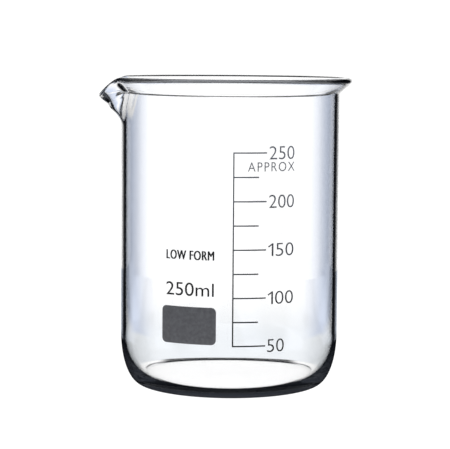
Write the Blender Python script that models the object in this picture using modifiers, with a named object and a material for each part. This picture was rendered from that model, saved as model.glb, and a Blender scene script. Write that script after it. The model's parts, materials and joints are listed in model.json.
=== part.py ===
"""Low-form laboratory beaker, 250 ml, with a pouring spout and a fired enamel scale.

The beaker is one blown and pressed piece of borosilicate glass. Its markings are thin deposits of dark
enamel, fired onto the outer wall, and each deposit is a solid of its own here.

Frame: metres, +Z up. The origin is on the beaker's axis, at the plane it stands on. The spout points to -X
and the middle of the printed side faces -Y.
"""

import math

import bmesh
import bpy

MM = 0.001

# The vessel's driving dimensions.
BODY_DIAMETER = 69.0 * MM
HEIGHT = 97.5 * MM
WALL = 1.5 * MM
BASE_THICKNESS = 2.2 * MM
OUTER_CORNER = (6.5 * MM, 16.0 * MM)
INNER_CORNER = (7.0 * MM, 13.0 * MM)
FLARE_RADIUS = 2.5 * MM
FLARE_LEAN = math.radians(44)
BEAD_RADIUS = 1.0 * MM
BEAD_CENTRE_RADIUS = 37.3 * MM

# The spout: how far the rim is pushed out and pulled down, and the part of the wall that goes with it.
SPOUT_PUSH = 3.2 * MM
SPOUT_BELLY = 4.2 * MM
SPOUT_DROP = 4.9 * MM
SPOUT_DEPTH = 15.5 * MM
SPOUT_HALF_ANGLE_RIM = math.radians(26)
SPOUT_HALF_ANGLE_ROOT = math.radians(15)
BELLY_SHARE = 0.7

# Fineness of the turned body.
TURNS = 80
CORNER_STEPS = 6
FLARE_STEPS = 4
BEAD_STEPS = 8
SPOUT_ROWS = 4

# The enamel: a film that stands a touch clear of the glass so that the two solids never share a face.
FILM_GAP = 0.3 * MM
FILM_THICKNESS = 0.2 * MM
FILM_FACET = 2.5 * MM

# The scale: a mark every 25 ml. Arc lengths run round the wall from the middle of the printed side, to +X.
SCALE_SPINE = 1.05 * MM
SCALE_LINE = 0.42 * MM
FIRST_MARK_HEIGHT = 17.1 * MM
MARK_STEP = 7.31 * MM
MARKS = 9
LONG_MARK_END = 11.15 * MM
SHORT_MARK_END = 8.75 * MM
NUMERAL_START = 11.95 * MM
NUMERAL_HEIGHT = 4.0 * MM
NUMERAL_ADVANCE = 2.93 * MM
NUMERAL_GAP = 0.25 * MM
SHORT_NUMERAL_SHIFT = 0.2 * MM

# The lettering: its ends round the wall, and the foot and head of each line.
LETTER_LEFT = -20.3 * MM
LETTER_RIGHT = -4.7 * MM
APPROX_BOX = (5.3 * MM, 20.6 * MM, 70.0 * MM, 72.8 * MM)
LOW_FORM_BOX = (LETTER_LEFT, LETTER_RIGHT, 43.1 * MM, 45.95 * MM)
CAPACITY_BOX = (LETTER_LEFT, LETTER_RIGHT, 32.1 * MM, 36.2 * MM)

# The marking panel, under the capacity.
PANEL_LEFT = -21.75 * MM
PANEL_RIGHT = -4.0 * MM
PANEL_BOTTOM = 17.4 * MM
PANEL_TOP = 28.8 * MM
PANEL_CORNER = 1.5 * MM

MERGE = 0.002 * MM
TEXT_SIZE = 5.0 * MM


def clear_scene():
    for obj in list(bpy.data.objects):
        bpy.data.objects.remove(obj, do_unlink=True)


def make_collection(name):
    collection = bpy.data.collections.new(name)
    bpy.context.scene.collection.children.link(collection)
    return collection


def make_material(name, colour, roughness, transmission=0.0, ior=1.5):
    material = bpy.data.materials.new(name)
    material.use_nodes = True
    shader = material.node_tree.nodes["Principled BSDF"]
    shader.inputs["Base Color"].default_value = (*colour, 1.0)
    shader.inputs["Roughness"].default_value = roughness
    shader.inputs["Metallic"].default_value = 0.0
    shader.inputs["Transmission Weight"].default_value = transmission
    shader.inputs["IOR"].default_value = ior
    return material


def smoothstep(t):
    t = min(1.0, max(0.0, t))
    return t * t * (3.0 - 2.0 * t)


def arc(centre, radii, start_deg, end_deg, steps):
    """Points along an arc, round or oval, in the profile's plane, both ends included."""
    across, up = radii
    angles = [math.radians(start_deg + (end_deg - start_deg) * i / steps) for i in range(steps + 1)]
    return [(centre[0] + across * math.cos(a), centre[1] + up * math.sin(a)) for a in angles]


def vessel_profile():
    """Half section of the beaker as (radius, height), up the inside, over the bead and down the outside."""
    outer = BODY_DIAMETER / 2
    inner = outer - WALL
    middle = outer - WALL / 2

    # The wall turns out into a short cone, and the cone thickens by a slight taper into the bead.
    bead_centre = (BEAD_CENTRE_RADIUS, HEIGHT - BEAD_RADIUS)
    cone_across = BEAD_CENTRE_RADIUS - middle - FLARE_RADIUS * (1 - math.cos(FLARE_LEAN))
    cone_rise = cone_across / math.tan(FLARE_LEAN)
    flare_centre = (middle + FLARE_RADIUS, bead_centre[1] - cone_rise - FLARE_RADIUS * math.sin(FLARE_LEAN))
    lean = math.degrees(FLARE_LEAN)
    taper = math.degrees(math.asin((BEAD_RADIUS - WALL / 2) * math.sin(FLARE_LEAN) / cone_across))
    flare_inside = FLARE_RADIUS + WALL / 2
    flare_outside = FLARE_RADIUS - WALL / 2

    spout_root = HEIGHT - SPOUT_DEPTH
    row_gap = (flare_centre[1] - spout_root) / SPOUT_ROWS
    rows = [spout_root + row_gap * i for i in range(SPOUT_ROWS)]

    inner_corner = (inner - INNER_CORNER[0], BASE_THICKNESS + INNER_CORNER[1])
    outer_corner = (outer - OUTER_CORNER[0], OUTER_CORNER[1])
    points = [(0.0, BASE_THICKNESS)]
    points += arc(inner_corner, INNER_CORNER, -90, 0, CORNER_STEPS)
    points += [(inner, z) for z in rows]
    points += arc(flare_centre, (flare_inside, flare_inside), 180, 180 - lean + taper, FLARE_STEPS)
    points += arc(bead_centre, (BEAD_RADIUS, BEAD_RADIUS), 180 - lean + taper, -lean - taper, BEAD_STEPS)
    points += arc(flare_centre, (flare_outside, flare_outside), 180 - lean - taper, 180, FLARE_STEPS)
    points += [(outer, z) for z in reversed(rows)]
    points += arc(outer_corner, OUTER_CORNER, 0, -90, CORNER_STEPS)
    points.append((0.0, 0.0))
    return points


def shape_spout(mesh):
    """Push the wall out towards -X and pull it down, more towards the rim, over a wedge that narrows below."""
    root = HEIGHT - SPOUT_DEPTH
    for vertex in mesh.vertices:
        x, y, z = vertex.co
        climb = (z - root) / SPOUT_DEPTH
        radius = math.hypot(x, y)
        if climb <= 0.0 or radius < BODY_DIAMETER / 4:
            continue
        spread = smoothstep(climb)
        half_angle = SPOUT_HALF_ANGLE_ROOT + (SPOUT_HALF_ANGLE_RIM - SPOUT_HALF_ANGLE_ROOT) * spread
        angle = abs(math.atan2(y, -x))
        if angle >= half_angle:
            continue
        share = math.cos(math.pi / 2 * angle / half_angle) ** 2
        push = SPOUT_BELLY * smoothstep(climb / BELLY_SHARE)
        push -= (SPOUT_BELLY - SPOUT_PUSH) * smoothstep((climb - BELLY_SHARE) / (1.0 - BELLY_SHARE))
        grow = 1.0 + push * share / radius
        vertex.co = (x * grow, y * grow, z - SPOUT_DROP * spread * share)


def build_vessel(collection, material):
    points = vessel_profile()
    outline = bpy.data.meshes.new("vessel_outline")
    edges = [(i, i + 1) for i in range(len(points) - 1)]
    outline.from_pydata([(r, 0.0, z) for r, z in points], edges, [])
    turned = bpy.data.objects.new("vessel_turned", outline)
    collection.objects.link(turned)
    screw = turned.modifiers.new("Turn", "SCREW")
    screw.axis = "Z"
    screw.steps = TURNS
    screw.render_steps = TURNS
    screw.use_merge_vertices = True
    screw.merge_threshold = MERGE
    screw.use_normal_calculate = False
    bpy.context.view_layer.update()
    solid = turned.evaluated_get(bpy.context.evaluated_depsgraph_get())
    mesh = bpy.data.meshes.new_from_object(solid)
    bpy.data.objects.remove(turned, do_unlink=True)

    shape_spout(mesh)
    mesh.name = "glass_vessel"
    mesh.shade_smooth()
    mesh.materials.clear()
    mesh.materials.append(material)
    vessel = bpy.data.objects.new("glass_vessel", mesh)
    collection.objects.link(vessel)
    return vessel


def curve_to_bmesh(curve):
    """The welded solid of a filled and extruded flat curve."""
    holder = bpy.data.objects.new("flat_print", curve)
    bpy.context.scene.collection.objects.link(holder)
    bpy.context.view_layer.update()
    mesh = bpy.data.meshes.new_from_object(holder.evaluated_get(bpy.context.evaluated_depsgraph_get()))
    bpy.data.objects.remove(holder, do_unlink=True)
    solid = bmesh.new()
    solid.from_mesh(mesh)
    bmesh.ops.remove_doubles(solid, verts=solid.verts, dist=MERGE)
    bpy.data.meshes.remove(mesh)
    return solid


def outline_to_bmesh(points):
    curve = bpy.data.curves.new("outline", "CURVE")
    curve.dimensions = "2D"
    curve.fill_mode = "BOTH"
    curve.extrude = FILM_THICKNESS / 2
    spline = curve.splines.new("POLY")
    spline.points.add(len(points) - 1)
    for point, (x, y) in zip(spline.points, points):
        point.co = (x, y, 0.0, 1.0)
    spline.use_cyclic_u = True
    return curve_to_bmesh(curve)


def text_to_bmesh(words, spacing):
    curve = bpy.data.curves.new("lettering", "FONT")
    curve.body = words
    curve.size = TEXT_SIZE
    curve.space_character = spacing
    curve.resolution_u = 2
    curve.render_resolution_u = 0
    curve.extrude = FILM_THICKNESS / 2
    return curve_to_bmesh(curve)


def fit_flat(solid, left, right, bottom, top):
    """Scale and move a flat shape so that it fills the given box of the wall."""
    xs = [v.co.x for v in solid.verts]
    ys = [v.co.y for v in solid.verts]
    scale_x = (right - left) / (max(xs) - min(xs))
    scale_y = (top - bottom) / (max(ys) - min(ys))
    low_x, low_y = min(xs), min(ys)
    for vertex in solid.verts:
        vertex.co.x = left + (vertex.co.x - low_x) * scale_x
        vertex.co.y = bottom + (vertex.co.y - low_y) * scale_y


def cut_facets(solid):
    """Cut a wide shape into upright strips, so that it can follow the round wall."""
    xs = [v.co.x for v in solid.verts]
    strips = int((max(xs) - min(xs)) / FILM_FACET)
    for i in range(1, strips + 1):
        x = min(xs) + (max(xs) - min(xs)) * i / (strips + 1)
        everything = solid.verts[:] + solid.edges[:] + solid.faces[:]
        bmesh.ops.bisect_plane(solid, geom=everything, dist=MERGE, plane_co=(x, 0, 0), plane_no=(1, 0, 0))


def wrap(solid):
    """Roll a flat shape onto the wall: x becomes arc length, y height, and z distance out of the film."""
    film_middle = BODY_DIAMETER / 2 + FILM_GAP + FILM_THICKNESS / 2
    for vertex in solid.verts:
        arc_length, height, depth = vertex.co
        angle = arc_length / (BODY_DIAMETER / 2)
        radius = film_middle + depth
        vertex.co = (radius * math.sin(angle), -radius * math.cos(angle), height)


def add_print(solid, name, collection, material):
    wrap(solid)
    mesh = bpy.data.meshes.new(name)
    solid.to_mesh(mesh)
    solid.free()
    mesh.materials.append(material)
    collection.objects.link(bpy.data.objects.new(name, mesh))


def split_glyphs(solid):
    """One bmesh for each separate glyph, from left to right."""
    groups = []
    left_over = set(solid.verts)
    while left_over:
        group = {left_over.pop()}
        front = list(group)
        while front:
            vertex = front.pop()
            for edge in vertex.link_edges:
                other = edge.other_vert(vertex)
                if other not in group:
                    group.add(other)
                    front.append(other)
        left_over -= group
        groups.append(group)
    groups.sort(key=lambda g: min(v.co.x for v in g))
    glyphs = []
    for group in groups:
        glyph = solid.copy()
        glyph.verts.ensure_lookup_table()
        keep = {v.index for v in group}
        bmesh.ops.delete(glyph, geom=[v for v in glyph.verts if v.index not in keep], context="VERTS")
        glyphs.append(glyph)
    return glyphs


def add_words(words, prefix, box, spacing, collection, material):
    """Lettering that fills box = (left, right, bottom, top), one node for each character."""
    solid = text_to_bmesh(words, spacing)
    fit_flat(solid, *box)
    solid.verts.index_update()
    glyphs = split_glyphs(solid)
    solid.free()
    letters = words.replace(" ", "")
    for number, (glyph, letter) in enumerate(zip(glyphs, letters), start=1):
        add_print(glyph, f"{prefix}_{number}_{letter}", collection, material)


def mark_height(index):
    return FIRST_MARK_HEIGHT + MARK_STEP * index


def build_scale(collection, material):
    """One comb of enamel: the upright line and its nine marks, long at every 50 ml."""
    half = SCALE_LINE / 2
    points = [(SCALE_SPINE - half, mark_height(MARKS - 1) + half), (SCALE_SPINE - half, mark_height(0) - half)]
    for index in range(MARKS):
        end = LONG_MARK_END if index % 2 == 0 else SHORT_MARK_END
        low = mark_height(index) - half
        high = mark_height(index) + half
        if index:
            points.append((SCALE_SPINE + half, low))
        points += [(end, low), (end, high)]
        if index < MARKS - 1:
            points.append((SCALE_SPINE + half, high))
    solid = outline_to_bmesh(points)
    cut_facets(solid)
    add_print(solid, "graduation_scale", collection, material)


def build_numerals(collection, material):
    for index in range(0, MARKS, 2):
        words = str(50 + 25 * index)
        left = NUMERAL_START - (SHORT_NUMERAL_SHIFT if len(words) == 2 else 0.0)
        right = left + NUMERAL_ADVANCE * len(words) - NUMERAL_GAP
        middle = mark_height(index)
        box = (left, right, middle - NUMERAL_HEIGHT / 2, middle + NUMERAL_HEIGHT / 2)
        add_words(words, f"numeral_{words}", box, 1.0, collection, material)


def build_lettering(collection, material):
    add_words("APPROX", "approx", APPROX_BOX, 1.2, collection, material)
    add_words("LOW FORM", "low_form", LOW_FORM_BOX, 1.1, collection, material)
    add_words("250ml", "capacity", CAPACITY_BOX, 1.0, collection, material)


def build_panel(collection, material):
    """A solid patch of enamel with round corners, to write on with a pencil."""
    left, right = PANEL_LEFT + PANEL_CORNER, PANEL_RIGHT - PANEL_CORNER
    bottom, top = PANEL_BOTTOM + PANEL_CORNER, PANEL_TOP - PANEL_CORNER
    points = []
    for centre, start in (((right, bottom), -90), ((right, top), 0), ((left, top), 90), ((left, bottom), 180)):
        points += arc(centre, (PANEL_CORNER, PANEL_CORNER), start, start + 90, 4)
    solid = outline_to_bmesh(points)
    cut_facets(solid)
    add_print(solid, "marking_panel", collection, material)


def main():
    clear_scene()
    beaker = make_collection("beaker")
    glass = make_material("borosilicate_glass", (0.93, 0.96, 0.98), 0.0, transmission=1.0, ior=1.473)
    enamel = make_material("fired_enamel", (0.09, 0.095, 0.1), 0.55)
    build_vessel(beaker, glass)
    build_scale(beaker, enamel)
    build_numerals(beaker, enamel)
    build_lettering(beaker, enamel)
    build_panel(beaker, enamel)
    triangles = 0
    for obj in beaker.objects:
        obj.data.calc_loop_triangles()
        triangles += len(obj.data.loop_triangles)
    print("nodes", len(beaker.objects), "triangles", triangles)


main()
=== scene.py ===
# %% [markdown]
# # A 250 ml laboratory beaker
#
# A beaker looks simple, but almost nothing of it is seen directly: the eye reads it from the dark lines
# that its edges bend into view, and from the print on its wall. So the work is in three places: a smooth
# mesh with a true wall thickness, a studio that gives the glass something to bend, and a thin, crisp
# print.

# %% Load the fixed frame
import json
import math

import bpy
from mathutils import Matrix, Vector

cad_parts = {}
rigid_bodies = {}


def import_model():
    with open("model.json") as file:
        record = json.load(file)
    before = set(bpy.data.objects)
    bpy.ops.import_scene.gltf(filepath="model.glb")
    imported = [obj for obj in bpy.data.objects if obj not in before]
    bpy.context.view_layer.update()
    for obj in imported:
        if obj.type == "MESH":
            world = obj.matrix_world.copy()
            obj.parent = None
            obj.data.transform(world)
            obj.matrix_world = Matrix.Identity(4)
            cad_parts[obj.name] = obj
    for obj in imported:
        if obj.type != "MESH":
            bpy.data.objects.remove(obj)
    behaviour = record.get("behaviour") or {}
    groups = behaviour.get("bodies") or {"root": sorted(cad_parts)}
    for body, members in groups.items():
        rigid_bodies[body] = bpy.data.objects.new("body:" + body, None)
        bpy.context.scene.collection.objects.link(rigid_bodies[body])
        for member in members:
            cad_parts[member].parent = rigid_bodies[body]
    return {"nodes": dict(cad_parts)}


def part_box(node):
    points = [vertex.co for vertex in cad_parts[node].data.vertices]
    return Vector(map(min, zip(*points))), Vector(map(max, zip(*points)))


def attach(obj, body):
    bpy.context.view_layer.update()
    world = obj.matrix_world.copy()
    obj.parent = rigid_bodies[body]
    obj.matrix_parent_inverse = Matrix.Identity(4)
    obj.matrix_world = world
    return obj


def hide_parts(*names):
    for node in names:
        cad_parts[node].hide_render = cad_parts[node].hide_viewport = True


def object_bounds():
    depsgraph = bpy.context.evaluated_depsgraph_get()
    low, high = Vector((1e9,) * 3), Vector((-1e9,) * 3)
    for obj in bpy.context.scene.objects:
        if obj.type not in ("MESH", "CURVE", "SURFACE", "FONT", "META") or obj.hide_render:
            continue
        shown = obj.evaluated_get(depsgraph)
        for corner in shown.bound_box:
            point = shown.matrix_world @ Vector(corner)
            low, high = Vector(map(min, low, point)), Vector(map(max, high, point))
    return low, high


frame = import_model()
cad_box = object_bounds()
MM = 0.001
frame_size = [round(v / MM, 1) for v in cad_box[1] - cad_box[0]]
print("frame:", len(frame["nodes"]), "nodes, size in mm:", frame_size)

# %% [markdown]
# ## The camera
#
# The beaker is seen from a little above its rim, through a long lens from about 58 cm away. The spout
# points to the left, and the print faces the camera. The camera is turned by less than half a degree
# about its own axis.

# %% Set up the camera
CAMERA_DISTANCE = 580.7 * MM
CAMERA_HEIGHT = 109.7 * MM
CAMERA_SIDE = -1.47 * MM
CAMERA_PITCH = math.radians(5.81)
CAMERA_ROLL = math.radians(0.41)

camera_data = bpy.data.cameras.new("camera")
camera_data.lens = 146.5
camera_data.sensor_width = 36.0
camera = bpy.data.objects.new("camera", camera_data)
bpy.context.scene.collection.objects.link(camera)
camera.matrix_world = (
    Matrix.Translation((CAMERA_SIDE, -CAMERA_DISTANCE, CAMERA_HEIGHT))
    @ Matrix.Rotation(math.pi / 2 - CAMERA_PITCH, 4, "X")
    @ Matrix.Rotation(CAMERA_ROLL, 4, "Z")
)
bpy.context.scene.camera = camera
print("camera lens:", camera_data.lens, "mm")

# %% [markdown]
# ## Helpers for colours and nodes
#
# Colours are written as sRGB hex values, the way they are picked, and one function turns them to linear
# light, which is what the renderer adds up. One more function adds a node with its settings and its
# links.


# %% Colours and nodes
def linear(hex_colour, strength=1.0):
    """Linear colour of an sRGB hex value, times a strength."""
    channels = [int(hex_colour[i : i + 2], 16) / 255 for i in (1, 3, 5)]
    curve = [c / 12.92 if c <= 0.04045 else ((c + 0.055) / 1.055) ** 2.4 for c in channels]
    return (*[c * strength for c in curve], 1.0)


def add_node(tree, kind, inputs=None, **settings):
    """Add a node. An input, by number or name, is a value or another node's output."""
    node = tree.nodes.new(kind)
    for name, value in settings.items():
        setattr(node, name, value)
    for key, value in (inputs or {}).items():
        if isinstance(value, bpy.types.NodeSocket):
            tree.links.new(value, node.inputs[key])
        else:
            node.inputs[key].default_value = value
    return node


def empty_tree(owner):
    """The node tree of a material or a world, with nothing in it."""
    owner.use_nodes = True
    owner.node_tree.nodes.clear()
    return owner.node_tree


def layered(tree, ground, *layers):
    """A colour with others laid over it, each given as its share, from 0 to 1, and the colour itself."""
    for share, colour in layers:
        mix = add_node(tree, "ShaderNodeMix", {0: share, 6: ground, 7: colour}, data_type="RGBA")
        ground = mix.outputs[2]
    return ground


def within(tree, *limits):
    """A share from 0 to 1 for values with (full, gone) limits: 1 if all are full, 0 if one is gone."""
    share = 1.0
    for value, (full, gone) in limits:
        fall = {0: value, 1: full, 2: gone, 3: 1.0, 4: 0.0}
        soft = add_node(tree, "ShaderNodeMapRange", fall, interpolation_type="SMOOTHSTEP")
        both = add_node(tree, "ShaderNodeMath", {0: share, 1: soft.outputs[0]}, operation="MULTIPLY")
        share = both.outputs[0]
    return share


# %% [markdown]
# ## The light
#
# Glassware is lit from behind, in what is called bright field: what lies straight behind it is bright, and
# the rest of the studio is darker. Light that comes straight through stays bright. Light that a surface
# throws back comes from elsewhere, so the glass draws its own outline where it reflects most, along its
# edges and in its base. Lamps and dark cards round the beaker could do this, but in a render each card
# would show from some side. So the Light Path node counts how often a ray has been thrown back, and each
# count sees surroundings of its own: none sees eight bright panels and a lit ceiling, with a dark gap
# between them that draws the rim; one sees the lit sides and the lamp overhead; two, a grey wall; three, a
# dark room; and more, only a little stray light. The camera itself sees plain white.

# %% Brightness and colour of the studio
WHITE = linear("#ffffff", 1.1)
BACKLIGHT = linear("#ffffff", 1.2)
SURROUND = linear("#d6dff2", 1.12)
LOW_LIGHT = linear("#f1f5f9", 1.1)
GREY_WALL = linear("#8b8d92")
STRAY_LIGHT = linear("#3c3e43")
TABLE_SHEEN = linear("#c3cad6", 1.05)
DARK_ROOM = linear("#0c0e12")


# %% Where a ray goes, and how often it was thrown back
def off_axis(tree, place, offset):
    """How far a place or direction lies off the nearest of the X and Y ways, past an offset, as a slope."""
    parts = add_node(tree, "ShaderNodeSeparateXYZ", {0: place})
    x = add_node(tree, "ShaderNodeMath", {0: parts.outputs["X"]}, operation="ABSOLUTE").outputs[0]
    y = add_node(tree, "ShaderNodeMath", {0: parts.outputs["Y"]}, operation="ABSOLUTE").outputs[0]
    ahead = add_node(tree, "ShaderNodeMath", {0: x, 1: y}, operation="MAXIMUM").outputs[0]
    aside = add_node(tree, "ShaderNodeMath", {0: x, 1: y}, operation="MINIMUM").outputs[0]
    clear = add_node(tree, "ShaderNodeMath", {0: aside, 1: offset}, operation="SUBTRACT").outputs[0]
    return add_node(tree, "ShaderNodeMath", {0: clear, 1: ahead}, operation="DIVIDE").outputs[0]


def off_nearest(tree, place, offset):
    """The same, off the nearest of eight ways, so that the glass looks alike from all round."""
    turn = {0: place, "Angle": math.pi / 4}
    turned = add_node(tree, "ShaderNodeVectorRotate", turn, rotation_type="Z_AXIS").outputs[0]
    slopes = {0: off_axis(tree, place, offset), 1: off_axis(tree, turned, offset)}
    return add_node(tree, "ShaderNodeMath", slopes, operation="MINIMUM").outputs[0]


def told_apart(tree, straight, once, often):
    """What a ray sees by how often it was thrown back: never, once, twice, three times, or more often."""
    path = add_node(tree, "ShaderNodeLightPath").outputs
    layers = []
    for times, look in enumerate((once, GREY_WALL, DARK_ROOM, often)):
        counted = {0: path["Glossy Depth"], 1: times + 0.5}
        more = add_node(tree, "ShaderNodeMath", counted, operation="GREATER_THAN")
        layers.append((more.outputs[0], look))
    return layered(tree, straight, *layers, (path["Is Camera Ray"], WHITE))


# %% Build the studio
# Each pair is where a light is full and where it is gone: first slopes off a way, then sines of the height.
PANEL_EDGE = (0.03, 0.2)
LIT_SIDE_EDGE = (0.2, 0.5)
PANEL_TOP_EDGE = (0.12, 0.16)
CEILING_EDGE = (0.45, 0.35)
LAMP_EDGE = (0.6, 0.35)
BOUNCES = 64

studio = bpy.data.worlds.new("studio")
tree = empty_tree(studio)
direction = add_node(tree, "ShaderNodeTexCoord").outputs["Generated"]
upward = add_node(tree, "ShaderNodeSeparateXYZ", {0: direction}).outputs["Z"]

face_on = within(tree, (off_nearest(tree, direction, 0.0), PANEL_EDGE))
lit = layered(tree, SURROUND, (face_on, BACKLIGHT))
panels = within(tree, (upward, PANEL_TOP_EDGE))
ceiling = within(tree, (upward, CEILING_EDGE))
straight = layered(tree, DARK_ROOM, (panels, lit), (ceiling, lit))

lit_side = within(tree, (off_axis(tree, direction, 0.0), LIT_SIDE_EDGE))
lamp = within(tree, (upward, LAMP_EDGE))
brighter = add_node(tree, "ShaderNodeMath", {0: lit_side, 1: lamp}, operation="MAXIMUM").outputs[0]
once = layered(tree, DARK_ROOM, (brighter, WHITE))

seen = told_apart(tree, straight, once, STRAY_LIGHT)
background = add_node(tree, "ShaderNodeBackground", {0: seen})
add_node(tree, "ShaderNodeOutputWorld", {0: background.outputs[0]})

scene = bpy.context.scene
scene.world = studio
scene.view_settings.view_transform = "Standard"
scene.cycles.max_bounces = BOUNCES
scene.cycles.glossy_bounces = BOUNCES
scene.cycles.transmission_bounces = BOUNCES
print("studio: bright field, rays followed through", BOUNCES, "surfaces")

# %% [markdown]
# ## The table
#
# The beaker stands on a table of opal acrylic that is lit from below, so that it has no cast shadow and its
# base is lit too. Looked at directly, the table is plain white. Seen through the glass it is not even: a
# painted shadow, a dark ring in the glow under the foot, draws the line round the floor, and painted shade
# on the far part, which is dark to rays that leave it at a middling tilt through one wall only, draws the
# line along the back of the rim. Light that the glass has thrown back once meets a painted sheen on the
# far table, beside the beaker's own image.

# %% Lay the light table
TABLE_RADIUS = 300 * MM
TABLE_DROP = 0.2 * MM
BODY_RADIUS = 34.5 * MM
SIDE_OFFSET = 26.5 * MM

# Each pair is where a part of the table is full and where it is gone, as distances from the middle.
# The foot's painted shadow: a dark ring in the table's glow under the foot, at front and back only.
FOOT_SHADOW_INNER = (27.0 * MM, 25.5 * MM)
FOOT_SHADOW_OUTER = (32.0 * MM, 34.0 * MM)
FOOT_SHADOW_ENDS = (20.0 * MM, 25.0 * MM)
FAR_TABLE = (85.0 * MM, 60.0 * MM)
FAR_SHEEN = (120.0 * MM, 95.0 * MM)
NEAR_FOOT = (33.0 * MM, 31.0 * MM)
NEAR_TABLE = (70.0 * MM, 220.0 * MM)

# These pairs are a slope past the body's side, two tilts as Facing values, and a count of surfaces passed,
# of which a wall has two.
PAST_BODY = (0.03, -0.03)
TILT_FROM = (0.20, 0.15)
TILT_TO = (0.64, 0.69)
ONE_WALL = (2, 3)

bpy.ops.object.select_all(action="DESELECT")
bpy.ops.mesh.primitive_circle_add(
    vertices=96, radius=TABLE_RADIUS, fill_type="NGON", location=(0, 0, -TABLE_DROP)
)
table = bpy.context.object
table.name = "light_table"
opal_acrylic = bpy.data.materials.new("opal acrylic, lit from below")
tree = empty_tree(opal_acrylic)
place = add_node(tree, "ShaderNodeTexCoord").outputs["Object"]
reach = add_node(tree, "ShaderNodeVectorMath", {0: place}, operation="LENGTH").outputs["Value"]
along_x = add_node(tree, "ShaderNodeSeparateXYZ", {0: place}).outputs["X"]
sideways = add_node(tree, "ShaderNodeMath", {0: along_x}, operation="ABSOLUTE").outputs[0]
tilt = add_node(tree, "ShaderNodeLayerWeight", {0: 0.5}).outputs["Facing"]
surfaces = add_node(tree, "ShaderNodeLightPath").outputs["Transmission Depth"]

near = within(tree, (reach, NEAR_TABLE), (reach, NEAR_FOOT))
white_table = layered(tree, BACKLIGHT, (near, LOW_LIGHT))
face_on = within(tree, (off_nearest(tree, place, SIDE_OFFSET), PANEL_EDGE))
lit_table = layered(tree, SURROUND, (face_on, white_table))
# Painted shadow: the table's glow is dark in a ring under the foot, fading out towards the sides.
painted_foot_shadow = within(tree, (reach, FOOT_SHADOW_INNER), (reach, FOOT_SHADOW_OUTER), (sideways, FOOT_SHADOW_ENDS))
# Painted shade: the far table is dark to rays that leave it at a middling tilt through one wall only.
painted_far_shade = within(tree, (tilt, TILT_FROM), (tilt, TILT_TO), (reach, FAR_TABLE), (surfaces, ONE_WALL))
straight = layered(tree, lit_table, (painted_foot_shadow, DARK_ROOM), (painted_far_shade, DARK_ROOM))

# A painted sheen on the far table, beside the beaker's image, for light that the glass has thrown back once.
slope = off_axis(tree, place, BODY_RADIUS)
sheen = within(tree, (slope, LIT_SIDE_EDGE), (slope, PAST_BODY), (reach, FAR_SHEEN))
once = layered(tree, DARK_ROOM, (sheen, TABLE_SHEEN))

seen = told_apart(tree, straight, once, DARK_ROOM)
glow = add_node(tree, "ShaderNodeEmission", {0: seen})
add_node(tree, "ShaderNodeOutputMaterial", {0: glow.outputs[0]})
table.data.materials.append(opal_acrylic)
print("light table:", round(2 * TABLE_RADIUS / MM), "mm across")

# %% [markdown]
# ## The glass body
#
# A blown beaker is a turned shape with one exception, its spout. It could be a profile with a Screw
# modifier. Drawing it ring by ring needs no profile object, and it puts rings exactly where the shape
# bends: start with the edge of the flat base, extrude the ring up the outside, over the bead and down the
# inside, and close both flats. Each extrusion is one step of the outline.

# %% Sizes of the glass
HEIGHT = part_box("glass_vessel")[1].z
WALL = 1.5 * MM
INNER_RADIUS = BODY_RADIUS - WALL
BASE_THICKNESS = 2.2 * MM
OUTER_CORNER = (6.5 * MM, 16.0 * MM)
INNER_CORNER = (7.0 * MM, 13.0 * MM)
FLARE = 2.5 * MM
LEAN = 44.0
BEAD = 1.0 * MM
BEAD_RADIUS = 37.3 * MM
SPOUT_DEPTH = 15.5 * MM
SEGMENTS = 256
print("glass height:", round(HEIGHT / MM, 2), "mm")


# %% The outline of the glass
WALL_STEP = 4.0 * MM
SPOUT_STEP = 0.6 * MM
CONE_STEPS = 4
BEAD_STEP = 8.0


def arc(centre, radii, start, end, step=3.0):
    """Points of a round or oval arc in the outline's plane, both ends included, about step degrees apart."""
    count = max(2, round(abs(end - start) / step))
    angles = [math.radians(start + (end - start) * i / count) for i in range(count + 1)]
    return [(centre[0] + radii[0] * math.cos(a), centre[1] + radii[1] * math.sin(a)) for a in angles]


def climb(radius, start, end, step):
    """Points straight up or down the wall, both ends left out."""
    count = max(2, round(abs(end - start) / step))
    return [(radius, start + (end - start) * i / count) for i in range(1, count)]


def straight_run(start, end, count):
    """Points on a straight line between two points of the outline, both ends left out."""
    shares = [i / count for i in range(1, count)]
    return [(start[0] + (end[0] - start[0]) * t, start[1] + (end[1] - start[1]) * t) for t in shares]


# The wall turns out into a short cone, and the cone thickens by a slight taper into the bead.
lean_angle = math.radians(LEAN)
middle = BODY_RADIUS - WALL / 2
bead_height = HEIGHT - BEAD
cone_across = BEAD_RADIUS - middle - FLARE * (1 - math.cos(lean_angle))
cone_rise = cone_across / math.tan(lean_angle)
flare_centre = (middle + FLARE, bead_height - cone_rise - FLARE * math.sin(lean_angle))
taper = math.degrees(math.asin((BEAD - WALL / 2) * math.sin(lean_angle) / cone_across))
flare_outside = arc(flare_centre, (FLARE - WALL / 2,) * 2, 180, 180 - LEAN - taper)
bead = arc((BEAD_RADIUS, bead_height), (BEAD, BEAD), -LEAN - taper, 180 - LEAN + taper, BEAD_STEP)
flare_inside = arc(flare_centre, (FLARE + WALL / 2,) * 2, 180 - LEAN + taper, 180)
outer_corner = (BODY_RADIUS - OUTER_CORNER[0], OUTER_CORNER[1])
inner_corner = (INNER_RADIUS - INNER_CORNER[0], BASE_THICKNESS + INNER_CORNER[1])
spout_root = HEIGHT - SPOUT_DEPTH

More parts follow.
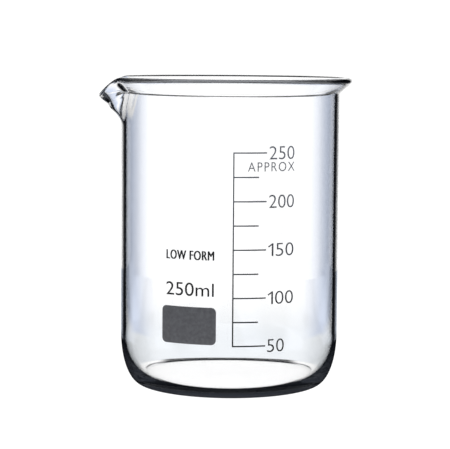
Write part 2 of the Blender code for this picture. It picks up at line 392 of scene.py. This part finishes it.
outline = arc(outer_corner, OUTER_CORNER, -90, 0)
outline += climb(BODY_RADIUS, outer_corner[1], spout_root, WALL_STEP)
outline += [(BODY_RADIUS, spout_root)]
outline += climb(BODY_RADIUS, spout_root, flare_centre[1], SPOUT_STEP)
outline += flare_outside
outline += straight_run(flare_outside[-1], bead[0], CONE_STEPS)
outline += bead
outline += straight_run(bead[-1], flare_inside[0], CONE_STEPS)
outline += flare_inside
outline += climb(INNER_RADIUS, flare_centre[1], spout_root, SPOUT_STEP)
outline += [(INNER_RADIUS, spout_root)]
outline += climb(INNER_RADIUS, spout_root, inner_corner[1], WALL_STEP)
outline += arc(inner_corner, INNER_CORNER, 0, -90)
print("outline:", len(outline), "rings of", SEGMENTS, "points")


# %% Draw the body ring by ring
def extrude_to(last, following):
    """Extrude the selected disc from one (radius, height) of the outline to the next."""
    bpy.ops.mesh.extrude_region_move(TRANSFORM_OT_translate={"value": (0, 0, following[1] - last[1])})
    grow = following[0] / last[0]
    bpy.ops.transform.resize(value=(grow, grow, 1), center_override=(0, 0, following[1]))


def signed_volume(mesh):
    """Volume inside a closed mesh: above zero when its faces point outwards."""
    mesh.calc_loop_triangles()
    corners = [[mesh.vertices[i].co for i in t.vertices] for t in mesh.loop_triangles]
    return sum(a.dot(b.cross(c)) for a, b, c in corners) / 6


bpy.ops.object.select_all(action="DESELECT")
bpy.ops.mesh.primitive_circle_add(
    vertices=SEGMENTS, radius=outline[0][0], fill_type="NGON", location=(0, 0, outline[0][1])
)
glass = bpy.context.object
glass.name = "glass_body"
bpy.ops.object.transform_apply(location=True)
bpy.ops.object.mode_set(mode="EDIT")
bpy.ops.mesh.select_mode(type="FACE")
bpy.ops.mesh.select_all(action="SELECT")
for last, following in zip(outline, outline[1:]):
    extrude_to(last, following)
bpy.ops.mesh.select_all(action="SELECT")
bpy.ops.mesh.normals_make_consistent(inside=False)
bpy.ops.object.mode_set(mode="OBJECT")
print("glass body:", len(glass.data.polygons), "faces,", round(signed_volume(glass.data) / MM**3), "mm3")

# %% [markdown]
# ## The spout
#
# The spout is made at the flame: a rod pushes the hot rim out and down over about a seventh of a turn, and
# the wall below follows in a trough that narrows to nothing. It could be sculpted by hand, but one rule
# keeps it smooth and alike on both sides: it says how far each point goes from its angle round the rim and
# its height.

# %% Push out the spout
SPOUT_PUSH = 3.2 * MM
SPOUT_BELLY = 4.2 * MM
SPOUT_DROP = 4.9 * MM
SPOUT_HALF_ANGLE_RIM = math.radians(26)
SPOUT_HALF_ANGLE_ROOT = math.radians(15)
BELLY_SHARE = 0.7


def smoothstep(t):
    """A soft step from 0 to 1 while t goes from 0 to 1."""
    t = min(1.0, max(0.0, t))
    return t * t * (3.0 - 2.0 * t)


for vertex in glass.data.vertices:
    x, y, z = vertex.co
    rise = (z - spout_root) / SPOUT_DEPTH
    radius = math.hypot(x, y)
    spread = smoothstep(rise)
    half_angle = SPOUT_HALF_ANGLE_ROOT + (SPOUT_HALF_ANGLE_RIM - SPOUT_HALF_ANGLE_ROOT) * spread
    angle = abs(math.atan2(y, -x))
    if rise <= 0.0 or angle >= half_angle:
        continue
    share = math.cos(math.pi / 2 * angle / half_angle) ** 2
    push = SPOUT_BELLY * smoothstep(rise / BELLY_SHARE)
    push -= (SPOUT_BELLY - SPOUT_PUSH) * smoothstep((rise - BELLY_SHARE) / (1.0 - BELLY_SHARE))
    grow = 1.0 + push * share / radius
    vertex.co = (x * grow, y * grow, z - SPOUT_DROP * spread * share)
bpy.ops.object.shade_smooth()
print("spout tip at x =", round(min(v.co.x for v in glass.data.vertices) / MM, 2), "mm")

# %% [markdown]
# ## Borosilicate glass
#
# Beakers are made of borosilicate 3.3 glass. It bends light a little less than window glass (index
# 1.473), it is nearly colourless, and fire polishing leaves it without a scratch. Blowing leaves it very
# slightly wavy, which keeps its lines from looking ruled. Seen edge on, through a long way of glass, it
# turns slightly blue, so the colour belongs in the volume, not on the surface.

# %% Finish the glass
GLASS_IOR = 1.473
WAVE_SPACING = 12.5 * MM
WAVE_HEIGHT = 0.02 * MM
TINT = linear("#c8d6ee")
TINT_DENSITY = 3.0

borosilicate = bpy.data.materials.new("borosilicate glass, fire polished")
tree = empty_tree(borosilicate)
place = add_node(tree, "ShaderNodeTexCoord").outputs["Object"]
waves = add_node(tree, "ShaderNodeTexNoise", {0: place, 2: 1 / WAVE_SPACING, 3: 1.0}).outputs[0]
relief = add_node(tree, "ShaderNodeBump", {0: 1.0, 1: WAVE_HEIGHT, "Height": waves}).outputs[0]
polished = {"Base Color": linear("#ffffff"), "Roughness": 0.0, "IOR": GLASS_IOR, "Normal": relief}
shader = add_node(tree, "ShaderNodeBsdfPrincipled", {**polished, "Transmission Weight": 1.0})
body_colour = add_node(tree, "ShaderNodeVolumeAbsorption", {0: TINT, 1: TINT_DENSITY})
add_node(tree, "ShaderNodeOutputMaterial", {0: shader.outputs[0], 1: body_colour.outputs[0]})
glass.data.materials.append(borosilicate)
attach(glass, "root")
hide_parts("glass_vessel")
print("glass: index", GLASS_IOR, "with waves", round(WAVE_SPACING / MM, 1), "mm apart")

# %% [markdown]
# ## The print
#
# The scale and the lettering are ceramic enamel, screen printed on the outside and fired until it fuses
# to the glass: dark grey, matt, and half as thick as paper. It could be painted on by the glass material,
# but as a film of its own it keeps its crisp edge and its own finish. Each line of print is drawn flat,
# cut into upright strips, given its thickness and rolled round the wall.

# %% Roll flat shapes onto the wall
FILM_GAP = 0.01 * MM
FILM_THICKNESS = 0.05 * MM
STRIP = 0.8 * MM
WELD = 0.001 * MM


def finish_print(piece, name, nodes, material):
    """Weld, cut, thicken and roll a flat print that lies at its place on the unrolled wall."""
    piece.name = name
    bpy.ops.object.select_all(action="DESELECT")
    piece.select_set(True)
    bpy.context.view_layer.objects.active = piece
    bpy.ops.object.transform_apply(location=True, rotation=True, scale=True)
    bpy.ops.object.mode_set(mode="EDIT")
    bpy.ops.mesh.select_all(action="SELECT")
    bpy.ops.mesh.remove_doubles(threshold=WELD)
    left = min(v.co.x for v in piece.data.vertices)
    right = max(v.co.x for v in piece.data.vertices)
    for i in range(1, int((right - left) / STRIP) + 1):
        bpy.ops.mesh.select_all(action="SELECT")
        bpy.ops.mesh.bisect(plane_co=(left + STRIP * i, 0, 0), plane_no=(1, 0, 0))
    bpy.ops.mesh.select_all(action="SELECT")
    bpy.ops.mesh.extrude_region_move(TRANSFORM_OT_translate={"value": (0, 0, FILM_THICKNESS)})
    bpy.ops.mesh.select_all(action="SELECT")
    bpy.ops.mesh.normals_make_consistent(inside=False)
    bpy.ops.object.mode_set(mode="OBJECT")
    for vertex in piece.data.vertices:
        angle = vertex.co.x / BODY_RADIUS
        radius = BODY_RADIUS + FILM_GAP + vertex.co.z
        vertex.co = (radius * math.sin(angle), -radius * math.cos(angle), vertex.co.y)
    piece.data.materials.clear()
    piece.data.materials.append(material)
    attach(piece, "root")
    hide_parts(*nodes)
    print(name, "stands for", len(nodes), "nodes,", len(piece.data.polygons), "faces")


def wall_box(nodes):
    """Left, right, bottom and top of CAD nodes on the unrolled wall, as arc lengths and heights."""
    objects = [frame["nodes"][node] for node in nodes]
    points = [item.matrix_world @ v.co for item in objects for v in item.data.vertices]
    arcs = [math.atan2(p.x, -p.y) * BODY_RADIUS for p in points]
    heights = [p.z for p in points]
    return min(arcs), max(arcs), min(heights), max(heights)


# %% [markdown]
# ## Fired enamel
#
# The enamel is a glass frit with a dark pigment, pressed through a screen and melted onto the wall at
# about 600 degrees. It is matt rather than glossy, because its grains only just melt, and it lies
# unevenly, so its grey is mottled. It is one material with three settings: the thin print, which pales
# towards the top, a thicker and darker print, and the chalky panel that takes a pencil. Its grain is a
# few hundredths of a millimetre in truth, which is too fine to show, so it is drawn at a tenth.


# %% Mix the enamels
MOTTLE_SIZE = 1.0 * MM
MOTTLE_DEPTH = 0.18
GRAIN_SIZE = 0.1 * MM
GRAIN_HEIGHT = 0.01 * MM
GLOSS_SPREAD = 0.08
NOISE_RANGE = {1: 0.3, 2: 0.7}
LOWER_HEIGHT = 20.0 * MM
UPPER_HEIGHT = 80.0 * MM


def fired_enamel(name, lower, upper, roughness):
    """Enamel whose grey runs from lower to upper up the wall, mottled, with grain in gloss and relief."""
    material = bpy.data.materials.new(name)
    tree = empty_tree(material)
    place = add_node(tree, "ShaderNodeTexCoord").outputs["Object"]
    height = add_node(tree, "ShaderNodeSeparateXYZ", {0: place}).outputs["Z"]
    heights = {0: height, 1: LOWER_HEIGHT, 2: UPPER_HEIGHT, 3: 0.0, 4: 1.0}
    risen = add_node(tree, "ShaderNodeMapRange", heights).outputs[0]
    grey = layered(tree, lower, (risen, upper))

    mottle = add_node(tree, "ShaderNodeTexNoise", {0: place, 2: 1 / MOTTLE_SIZE, 3: 3.0}).outputs[0]
    patches = {0: mottle, **NOISE_RANGE, 3: 1 - MOTTLE_DEPTH, 4: 1 + MOTTLE_DEPTH}
    strength = add_node(tree, "ShaderNodeMapRange", patches).outputs[0]
    scaled = {0: grey, "Scale": strength}
    colour = add_node(tree, "ShaderNodeVectorMath", scaled, operation="SCALE").outputs[0]

    grain = add_node(tree, "ShaderNodeTexNoise", {0: place, 2: 1 / GRAIN_SIZE, 3: 2.0}).outputs[0]
    grains = {0: grain, **NOISE_RANGE, 3: roughness - GLOSS_SPREAD, 4: roughness + GLOSS_SPREAD}
    gloss = add_node(tree, "ShaderNodeMapRange", grains).outputs[0]
    relief = add_node(tree, "ShaderNodeBump", {0: 0.4, 1: GRAIN_HEIGHT, "Height": grain}).outputs[0]

    finish = {"Base Color": colour, "Roughness": gloss, "Normal": relief}
    shader = add_node(tree, "ShaderNodeBsdfPrincipled", finish)
    add_node(tree, "ShaderNodeOutputMaterial", {0: shader.outputs[0]})
    print("enamel:", name)
    return material


thin_enamel = fired_enamel("fired enamel, thin print", linear("#0c0d10"), linear("#74767c"), 0.55)
thick_enamel = fired_enamel("fired enamel, thick print", linear("#0a0b0d"), linear("#15161a"), 0.55)
panel_enamel = fired_enamel("fired enamel, matt for pencil", linear("#626162"), linear("#6a6a6a"), 0.7)

# %% [markdown]
# ## Lettering and numerals
#
# The words and numerals are set in plain type, as on any such beaker. Drawing each letter by hand would
# take longer and look no better, so the built-in type is used, stretched to the height and width of the
# print it stands for. It has a 1 without a flag, so the flag is added, and the short word line is struck
# three times, a touch to the right each time, which makes it bolder.

# %% Set type
TYPE_SIZE = 5.0 * MM
CURVE_STEPS = 6
ONE_BAR = 0.8 * MM
ONE_SHIFT = 0.75 * MM
FLAG_INSET = 0.4125 * MM
FLAG_DROP = 0.62 * MM
FLAG_SLANT = math.radians(38)
FLAG_SIZE = (1.15 * MM, 0.32 * MM)
STRIKE = 0.14 * MM
NUMERAL_WEIGHT = -0.045 * MM
APPROX_WEIGHT = -0.03 * MM


def flag_the_one(piece, left, head):
    """Move the bar of a leading 1 a little to the right, and give it the flag that the plain type lacks."""
    for vertex in piece.data.vertices:
        if vertex.co.x < left + ONE_BAR:
            vertex.co.x += ONE_SHIFT
    place = (left + FLAG_INSET, head - FLAG_DROP, 0)
    bpy.ops.mesh.primitive_plane_add(size=1, location=place, rotation=(0, 0, FLAG_SLANT))
    flag = bpy.context.object
    flag.scale = (*FLAG_SIZE, 1)
    piece.select_set(True)
    bpy.context.view_layer.objects.active = piece
    bpy.ops.object.join()
    return bpy.context.object


def strike_again(piece, strikes):
    """Bolder type: the same letters again, each time a touch further to the right."""
    copies = [piece]
    for number in range(1, strikes):
        bpy.ops.object.select_all(action="DESELECT")
        piece.select_set(True)
        bpy.ops.object.duplicate()
        copies.append(bpy.context.object)
        copies[-1].location.x += STRIKE * number
    for copy in copies:
        copy.select_set(True)
    bpy.context.view_layer.objects.active = piece
    bpy.ops.object.join()
    return bpy.context.object


def letter(words, prefix, name, material, spacing=1.0, weight=0.0, strikes=1):
    """Set words in type, filling the box of the CAD nodes whose names start with prefix."""
    nodes = sorted(node for node in frame["nodes"] if node.startswith(prefix))
    left, right, bottom, top = wall_box(nodes)
    bpy.ops.object.select_all(action="DESELECT")
    bpy.ops.object.text_add(location=(0, 0, 0))
    piece = bpy.context.object
    piece.data.body = words
    piece.data.size = TYPE_SIZE
    piece.data.space_character = spacing
    piece.data.offset = weight
    piece.data.resolution_u = CURVE_STEPS
    bpy.ops.object.convert(target="MESH")
    piece = bpy.context.object
    xs = [v.co.x for v in piece.data.vertices]
    ys = [v.co.y for v in piece.data.vertices]
    if words.startswith("1"):
        piece = flag_the_one(piece, min(xs), max(ys))
    if strikes > 1:
        piece = strike_again(piece, strikes)
        xs.append(max(xs) + STRIKE * (strikes - 1))
    scale_x = (right - left) / (max(xs) - min(xs))
    scale_y = (top - bottom) / (max(ys) - min(ys))
    piece.scale = (scale_x, scale_y, 1)
    piece.location = (left - min(xs) * scale_x, bottom - min(ys) * scale_y, 0)
    finish_print(piece, name, nodes, material)


for volume in (50, 100, 150, 200, 250):
    letter(str(volume), f"numeral_{volume}_", f"print_{volume}", thin_enamel, weight=NUMERAL_WEIGHT)
letter("APPROX", "approx_", "print_approx", thin_enamel, spacing=1.2, weight=APPROX_WEIGHT)
letter("LOW FORM", "low_form_", "print_low_form", thick_enamel, spacing=1.1, strikes=3)
letter("250ml", "capacity_", "print_capacity", thick_enamel)


# %% [markdown]
# ## The scale and the marking panel
#
# The scale is one upright line with nine marks, one every 25 ml. The wall is straight, so equal volumes
# are equal steps. Every second mark is longer and has its numeral. It could be cut out of one plate, but
# plain rectangles laid edge to edge need no cutting, and no stroke lies on another. The panel is one
# rectangle with its corners rounded.

# %% Draw the scale and the marking panel
LINE = 0.42 * MM
MARKS = 9
MARK_STEP = 7.31 * MM
SHORT_MARK_SETBACK = 2.4 * MM
PANEL_CORNER = 1.5 * MM
CORNER_STEPS = 8


def plate(left, right, bottom, top):
    """A flat rectangle on the unrolled wall."""
    bpy.ops.object.select_all(action="DESELECT")
    bpy.ops.mesh.primitive_plane_add(size=1, location=((left + right) / 2, (bottom + top) / 2, 0))
    piece = bpy.context.object
    piece.scale = (right - left, top - bottom, 1)
    bpy.ops.object.transform_apply(location=True, rotation=True, scale=True)
    return piece


left, right, bottom, top = wall_box(["graduation_scale"])
first_mark = bottom + LINE / 2
strokes = [plate(left, left + LINE, bottom, top)]
for index in range(MARKS):
    height = first_mark + MARK_STEP * index
    end = right if index % 2 == 0 else right - SHORT_MARK_SETBACK
    strokes.append(plate(left + LINE, end, height - LINE / 2, height + LINE / 2))
for stroke in strokes:
    stroke.select_set(True)
bpy.context.view_layer.objects.active = strokes[0]
bpy.ops.object.join()
finish_print(bpy.context.object, "print_scale", ["graduation_scale"], thin_enamel)

panel = plate(*wall_box(["marking_panel"]))
bpy.ops.object.mode_set(mode="EDIT")
bpy.ops.mesh.select_all(action="SELECT")
bpy.ops.mesh.bevel(offset=PANEL_CORNER, segments=CORNER_STEPS, affect="VERTICES")
bpy.ops.object.mode_set(mode="OBJECT")
finish_print(panel, "print_panel", ["marking_panel"], panel_enamel)
